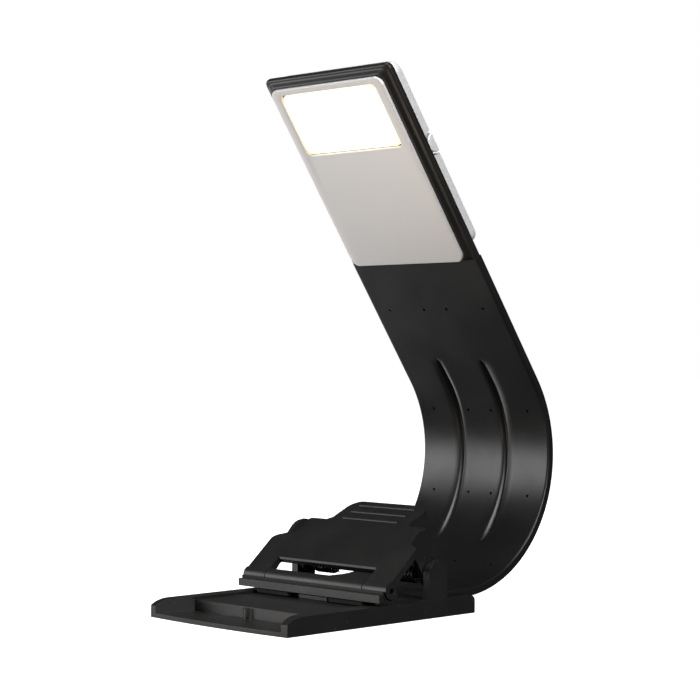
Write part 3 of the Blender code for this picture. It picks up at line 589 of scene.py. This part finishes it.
def strap_piece(name, start, end):
    """A stretch of the strap from start to end along its middle."""
    work = bmesh.new()
    rings = []
    for s in strap_rows(start, end):
        rings.append([work.verts.new(strap_point(s, x, w)) for x, w in strap_section(s)])
    for lower, upper in zip(rings, rings[1:]):
        for i in range(len(lower)):
            j = (i + 1) % len(lower)
            work.faces.new((lower[i], lower[j], upper[j], upper[i]))
    work.faces.new(rings[0])
    work.faces.new(list(reversed(rings[-1])))
    bmesh.ops.recalc_face_normals(work, faces=work.faces)
    piece = from_bmesh(work, name)
    holes = [MID_R * math.radians(angle) for angle in HOLE_ANGLES] + [END_S + HOLE_PAST]
    drills = bmesh.new()
    for s in holes:
        if start < s < end:
            for x in (*HOLE_X, *(-x for x in HOLE_X)):
                at = strap_frame(s) @ Matrix.Translation(Vector((x, 0.0, 0.0)) * MM)
                bmesh.ops.create_cone(
                    drills,
                    cap_ends=True,
                    segments=HOLE_SIDES,
                    radius1=HOLE_R * MM,
                    radius2=HOLE_R * MM,
                    depth=2.0 * HOLE_D * MM,
                    matrix=at,
                )
    if drills.verts:
        drilled(piece, from_bmesh(drills, name + "_drill"))
    else:
        drills.free()
    return smooth(piece, 40.0)


def make_strap(look):
    foot_end = HINGE_S[0] - (HINGE_S[1] - HINGE_S[0]) * 0.5
    marks = [foot_end]
    marks += [(a + b) * 0.5 for a, b in zip(HINGE_S, HINGE_S[1:])]
    top_start = HINGE_S[-1] + (HINGE_S[1] - HINGE_S[0]) * 0.5
    marks.append(top_start)
    foot = strap_piece("strap_foot", ROOT_LOW.y - BEND_Y, foot_end)
    place(foot, "base", look, "strap_elastomer", "strap_root")
    for i, hinge in enumerate(HINGE_S):
        span = strap_piece(f"strap_span_{i + 1}", marks[i], marks[i + 1])
        place(span, None, look, "strap_elastomer", f"strap_link_{i + 1}")
        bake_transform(span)
    head_low = head_box("head_frame")[0].y
    top = strap_piece("strap_top", top_start, END_S + head_low)
    place(top, "head", look, "strap_elastomer")


# ---------------------------------------------------------------- head


SIDE_ON = Matrix(((0, 0, 1, 0), (1, 0, 0, 0), (0, 1, 0, 0), (0, 0, 0, 1)))


def outline_of(x0, s0, x1, s1, radius, low_radius=None):
    """A rectangle with round corners, anticlockwise; the corners at s0 can have their own radius."""
    low_r = radius if low_radius is None else low_radius
    corners = (
        (x1 - low_r, s0 + low_r, low_r, -90.0),
        (x1 - radius, s1 - radius, radius, 0.0),
        (x0 + radius, s1 - radius, radius, 90.0),
        (x0 + low_r, s0 + low_r, low_r, 180.0),
    )
    points = []
    for cx, cs, r, start in corners:
        for sine, cosine in quarter(CORNER_STEPS, start, start + 90.0):
            points.append((cx + r * cosine, cs + r * sine))
    return points


def lofted(rings, name, axes, closed):
    """Skin over (outline, height) rings in the given axes: a closed tube, or a solid with both ends
    filled."""
    work = bmesh.new()
    rows = []
    for outline, height in rings:
        places = [axes @ (Vector((a, b, height)) * MM) for a, b in outline]
        rows.append([work.verts.new(at) for at in places])
    if closed:
        rows.append(rows[0])
    else:
        work.faces.new(list(reversed(rows[0])))
        work.faces.new(rows[-1])
    for lower, upper in zip(rows, rows[1:]):
        for i in range(len(lower)):
            j = (i + 1) % len(lower)
            work.faces.new((lower[i], lower[j], upper[j], upper[i]))
    bmesh.ops.remove_doubles(work, verts=work.verts, dist=WELD)
    bmesh.ops.recalc_face_normals(work, faces=work.faces)
    return smooth(from_bmesh(work, name), LOFT_CREASE)


def key_axes():
    """Axes of the side key: up the head, out of its face, and then out of its side."""
    low, high = head_box("power_key")
    radius = (high.y - low.y) * 0.5
    middle = Vector((0.0, (low.y + high.y) * 0.5, high.z - radius))
    return HEAD @ Matrix.Translation(middle * MM) @ SIDE_ON


def key_recess():
    """Cutter for the round recess that the side key sits in."""
    low = head_box("power_key")[0]
    turns = quarter(RECESS_SIDES, 0.0, 360.0)[:-1]
    ring = [(RECESS_R * cosine, RECESS_R * sine) for sine, cosine in turns]
    ends = [(ring, low.x - RECESS_DEEP), (ring, RECESS_PAST)]
    return lofted(ends, "recess", key_axes(), False)


def window_hole():
    """Corners of the opening that the window shows through: x0, s0, x1, s1."""
    low, high = head_box("diffuser_window")
    rim = WINDOW_FLANGE - WINDOW_GAP
    return low.x + rim, low.y + rim, high.x - rim, high.y - rim


def inset_outline(low, high, inset, radius):
    """A box's outline brought in by the same amount on all four sides."""
    return outline_of(low.x + inset, low.y + inset, high.x - inset, high.y - inset, radius)


def make_bezel(look):
    """The head's moulded frame: rolled outer edges, and a ledge that rises to the plate's seat."""
    low, high = head_box("head_frame")
    plate_low, plate_high = head_box("front_plate")
    seat = plate_low.z - SEAT_GAP

    def outer(inset):
        sides = (low.x + inset, low.y, high.x - inset, high.y - inset)
        return outline_of(*sides, BEZEL_R, BEZEL_FOOT_R)

    rings = []
    for sine, cosine in quarter(5):
        rings.append((outer(BEZEL_BACK * (1.0 - sine)), low.z + BEZEL_BACK * (1.0 - cosine)))
    for cosine, sine in quarter(7):
        rings.append((outer(BEZEL_EDGE * (1.0 - sine)), -BEZEL_EDGE + BEZEL_EDGE * cosine))
    last = rings[-1][0]
    inner = inset_outline(plate_low, plate_high, -SEAT_OUT, PLATE_R + SEAT_OUT)
    for share in LEDGE_RISE:
        ring = [
            (a + (c - a) * share, b + (d - b) * share) for (a, b), (c, d) in zip(last, inner)
        ]
        rings.append((ring, seat * (1.0 - math.cos(math.pi * share)) * 0.5))
    hole = outline_of(*window_hole(), WINDOW_R)
    room_low = plate_low.y - SEAT_OUT + ROOM_LOW
    room = outline_of(-ROOM_HALF, room_low, ROOM_HALF, high.y - ROOM_HIGH, ROOM_R)
    rings += [(hole, seat), (hole, ROOM_TOP), (room, ROOM_TOP), (room, low.z)]
    bezel = lofted(rings, "head_bezel", HEAD, True)
    drilled(bezel, key_recess())
    place(bezel, "head", look, "black_abs", "head_frame")


def make_plate(look):
    """The thin metal face with its window opening, edges just broken."""
    low, high = head_box("front_plate")
    edge = PLATE_EDGE
    rings = [(inset_outline(low, high, 0.0, PLATE_R), low.z)]
    for cosine, sine in quarter(4):
        ring = inset_outline(low, high, edge * (1.0 - sine), PLATE_R)
        rings.append((ring, high.z - edge + edge * cosine))
    x0, s0, x1, s1 = window_hole()
    for sine, cosine in quarter(4):
        out = edge * (1.0 - sine)
        ring = outline_of(x0 - out, s0 - out, x1 + out, s1 + out, WINDOW_R)
        rings.append((ring, high.z - edge * (1.0 - cosine)))
    rings.append((outline_of(x0, s0, x1, s1, WINDOW_R), low.z))
    plate = lofted(rings, "face_plate", HEAD, True)
    place(plate, "head", look, "satin_aluminium", "front_plate")


def make_casing(look):
    """The painted rear half: a shallow box with rolled back edges, a recess for the key and a
    socket mouth."""
    low, high = head_box("back_shell")
    edge, lip = CASING_EDGE, CASING_LIP
    inner = inset_outline(low, high, CASING_WALL, CASING_R - CASING_WALL)
    rings = [(inner, low.z + CASING_BACK), (inner, high.z)]
    for sine, cosine in quarter(3):
        inset = lip * (1.0 - sine)
        ring = inset_outline(low, high, inset, CASING_R - inset)
        rings.append((ring, high.z - lip * (1.0 - cosine)))
    for cosine, sine in quarter(6):
        inset = edge * (1.0 - sine)
        ring = inset_outline(low, high, inset, CASING_R - inset)
        rings.append((ring, low.z + edge - edge * cosine))
    casing = lofted(rings, "rear_casing", HEAD, False)
    drilled(casing, key_recess())
    mouth_low, mouth_high = head_box("usb_socket")
    s0, s1 = mouth_low.y - MOUTH_GAP, mouth_high.y + MOUTH_GAP
    w0, w1 = mouth_low.z - MOUTH_UNDER, high.z + MOUTH_PAST
    x0, x1 = low.x - MOUTH_PAST, mouth_low.x + MOUTH_DEEP
    opening = [(x0, s0), (x1, s0), (x1, s1), (x0, s1)]
    drilled(casing, lofted([(opening, w0), (opening, w1)], "mouth", HEAD, False))
    place(casing, "head", look, "silver_paint", "back_shell")


def make_key(look):
    """A round key cut off flat along the head's back edge, its rim rolled over."""
    low, high = head_box("power_key")
    flat = low.z - (high.z - KEY_R)
    reach = math.degrees(math.asin(max(-1.0, flat / KEY_R)))

    def ring(radius):
        points = []
        for sine, cosine in quarter(KEY_STEPS, reach, 180.0 - reach):
            points.append((radius * cosine, max(radius * sine, flat + KEY_R - radius)))
        return points

    rings = [(ring(KEY_R), low.x)]
    for cosine, sine in quarter(5):
        inset = KEY_EDGE * (1.0 - sine)
        rings.append((ring(KEY_R - inset), high.x - KEY_EDGE * (1.0 - cosine)))
    key = lofted(rings, "side_key", key_axes(), False)
    place(key, "key", look, "silver_paint", "power_key")


# ---------------------------------------------------------------- springs


def make_springs(look):
    """Round wire coils that wind up between the lever's pad and the strap's foot."""
    for sign, tag in ((-1, "left"), (1, "right")):
        node_name = "torsion_spring_" + tag
        spring = shape_of(node_name, "coil_spring_" + tag)
        step = spring.modifiers.new("round_wire", "SUBSURF")
        step.levels = step.render_levels = WIRE_ROUND
        applied(spring)
        smooth(spring, 60.0)
        place(spring, None, look, "bright_steel", node_name)
        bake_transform(spring)


# ---------------------------------------------------------------- stage


def softbox(name, azimuth, elevation, distance, width, height, watts):
    """A soft light aimed at the middle of the lamp; azimuth turns from -Y toward +X."""
    target = Vector(LAMP_MIDDLE) * MM
    turn, lift = math.radians(azimuth), math.radians(elevation)
    flat = math.cos(lift)
    away = Vector((math.sin(turn) * flat, -math.cos(turn) * flat, math.sin(lift)))
    lamp = bpy.data.lights.new(name, "AREA")
    lamp.shape = "RECTANGLE"
    lamp.size = width
    lamp.size_y = height
    lamp.energy = watts
    obj = bpy.data.objects.new(name, lamp)
    obj.location = target + away * distance
    obj.rotation_euler = (-away).to_track_quat("-Z", "Y").to_euler()
    bpy.context.scene.collection.objects.link(obj)


def page_glow():
    """Warm light that the lit window throws on the table in front, coming back up at the head."""
    lamp = bpy.data.lights.new("page_glow", "AREA")
    lamp.shape = "DISK"
    lamp.size = GLOW_WIDE
    lamp.energy = GLOW_WATTS
    lamp.color = srgb("#FFE9CC")[:3]
    glow = bpy.data.objects.new("page_glow", lamp)
    glow.location = Vector(GLOW_AT) * MM
    glow.rotation_euler = (math.pi, 0.0, 0.0)
    bpy.context.scene.collection.objects.link(glow)


def make_stage():
    """A white studio: an even backdrop, a white table, and four soft lights."""
    world = bpy.data.worlds.new("studio")
    bpy.context.scene.world = world
    world.use_nodes = True
    tree = world.node_tree
    for old in list(tree.nodes):
        tree.nodes.remove(old)
    backdrop = node(tree, "Background", {"Color": srgb("#FFFFFF"), "Strength": 1.0})
    fill = node(tree, "Background", {"Color": srgb("#FFFFFF"), "Strength": FILL})
    seen = node(tree, "LightPath")
    pick = node(
        tree,
        "MixShader",
        {0: (seen, "Is Camera Ray"), 1: (fill, "Background"), 2: (backdrop, "Background")},
    )
    node(tree, "OutputWorld", {"Surface": (pick, "Shader")})
    work = bmesh.new()
    bmesh.ops.create_grid(work, x_segments=1, y_segments=1, size=TABLE_HALF)
    floor = from_bmesh(work, "table_top")
    made, _, shader = finish("white_table_lacquer", Roughness=0.9)
    shader.inputs["Base Color"].default_value = srgb("#F4F4F4")
    shader.inputs["Emission Color"].default_value = srgb("#FFFFFF")
    shader.inputs["Emission Strength"].default_value = 1.0
    floor.data.materials.append(made)
    floor.visible_glossy = False
    floor.visible_diffuse = False
    floor.visible_shadow = False
    for row in SOFTBOXES:
        softbox(*row)
    page_glow()


def make_camera():
    lens = bpy.data.cameras.new("camera")
    lens.lens = CAMERA_LENS
    lens.sensor_width = CAMERA_SENSOR
    camera = bpy.data.objects.new("camera", lens)
    camera.location = Vector(CAMERA_AT) * MM
    camera.rotation_euler = (
        math.radians(90.0 + CAMERA_PITCH),
        0.0,
        math.radians(CAMERA_AZIMUTH),
    )
    bpy.context.scene.collection.objects.link(camera)
    bpy.context.scene.camera = camera


# ---------------------------------------------------------------- the lamp


def main():
    """Makes the finishes, the stage and every piece of the lamp."""
    bpy.context.scene.view_settings.view_transform = "Standard"
    black = moulded_plastic(
        "spark_eroded_black_abs", "#0E0E0E", "#151514", 0.42, 0.5, 0.006, 0.3, 0.5
    )
    strap = moulded_plastic(
        "satin_black_elastomer", "#0E0E0F", "#121213", 0.35, 0.45, 0.003, 0.0, 0.45
    )
    aluminium = blasted_aluminium()
    silver = silver_paint()
    steel = drawn_steel("drawn_spring_steel", "#A8A9AC", "#D9DADC", 0.22)
    # Spring steel painted dark: painted shade for the shadow under the lever where the coils sit,
    # not the wire's own colour
    shade_darkened_wire = drawn_steel("spring_wire_painted_shade", "#3E3F42", "#707276", 0.3)
    rubber = moulded_plastic(
        "moulded_grip_rubber", "#1B1B1B", "#242423", 0.75, 0.6, 0.02, 0.2, 0.3
    )
    make_stage()
    make_camera()
    base = eased(shape_of("base_tray", "base_moulding"), BASE_EASE)
    place(base, "base", black, "black_abs", "base_tray")
    lever = eased(shape_of("clamp_lever", "clip_lever"), LEVER_EASE)
    place(lever, "lever", black, "black_abs", "clamp_lever")
    jaw = eased(shape_of("swivel_jaw", "jaw_bar"), JAW_EASE)
    place(jaw, "jaw", black, "black_abs", "swivel_jaw")
    make_bezel(black)
    make_plate(aluminium)
    low, high = head_box("diffuser_window")
    window = eased(shape_of("diffuser_window", "lit_window"), WINDOW_EASE)
    place(window, "head", lit_opal(low, high), "opal_diffuser", "diffuser_window")
    make_casing(silver)
    make_key(silver)
    # The coils get the steel with painted shade for the shadow under the lever
    make_springs(shade_darkened_wire)
    make_strap(strap)
    board = two_tone(
        "solder_masked_glass_epoxy", "#0E3B22", "#1B5A35", 1.2, "TexVoronoi", "Color", 0.4
    )
    white = two_tone(
        "moulded_white_reflector", "#E6E6E2", "#F2F2EF", 0.8, "TexNoise", "Fac", 0.5
    )
    phosphor = two_tone(
        "cast_phosphor_silicone", "#E2C24A", "#F0D772", 0.4, "TexNoise", "Fac", 0.45
    )
    foil = two_tone(
        "pressed_cell_foil", "#B9BBBF", "#D2D3D6", 3.0, "TexNoise", "Fac", 0.35, 0.9, 0.02
    )
    nylon = two_tone("moulded_switch_nylon", "#202020", "#2C2C2C", 0.6, "TexNoise", "Fac", 0.5)
    strip = drawn_steel("rolled_strip_steel", "#8E9094", "#D9DADC", 0.3)
    blued = drawn_steel("blackened_steel_pin", "#17181A", "#26272A", 0.35)
    looks = {
        "base_bottom_cover": black,
        "foot_strip_left": rubber,
        "foot_strip_right": rubber,
        "jaw_grip_left": rubber,
        "jaw_grip_right": rubber,
        "pivot_pin": blued,
        "jaw_pin": blued,
        "tongue_screw_left": steel,
        "tongue_screw_right": steel,
        "usb_socket": steel,
        "light_well": white,
        "led_board": board,
        "charge_board": board,
        "switch_board": board,
        "lithium_cell": foil,
        "tact_switch": nylon,
    }
    for name, carried in frame["nodes"].items():
        look = looks.get(name)
        if name.startswith("stay_"):
            look = strip
        if name.startswith("led_chip"):
            look = phosphor
        if look:
            carried.data.materials.clear()
            carried.data.materials.append(look)
            smooth(carried)


main()
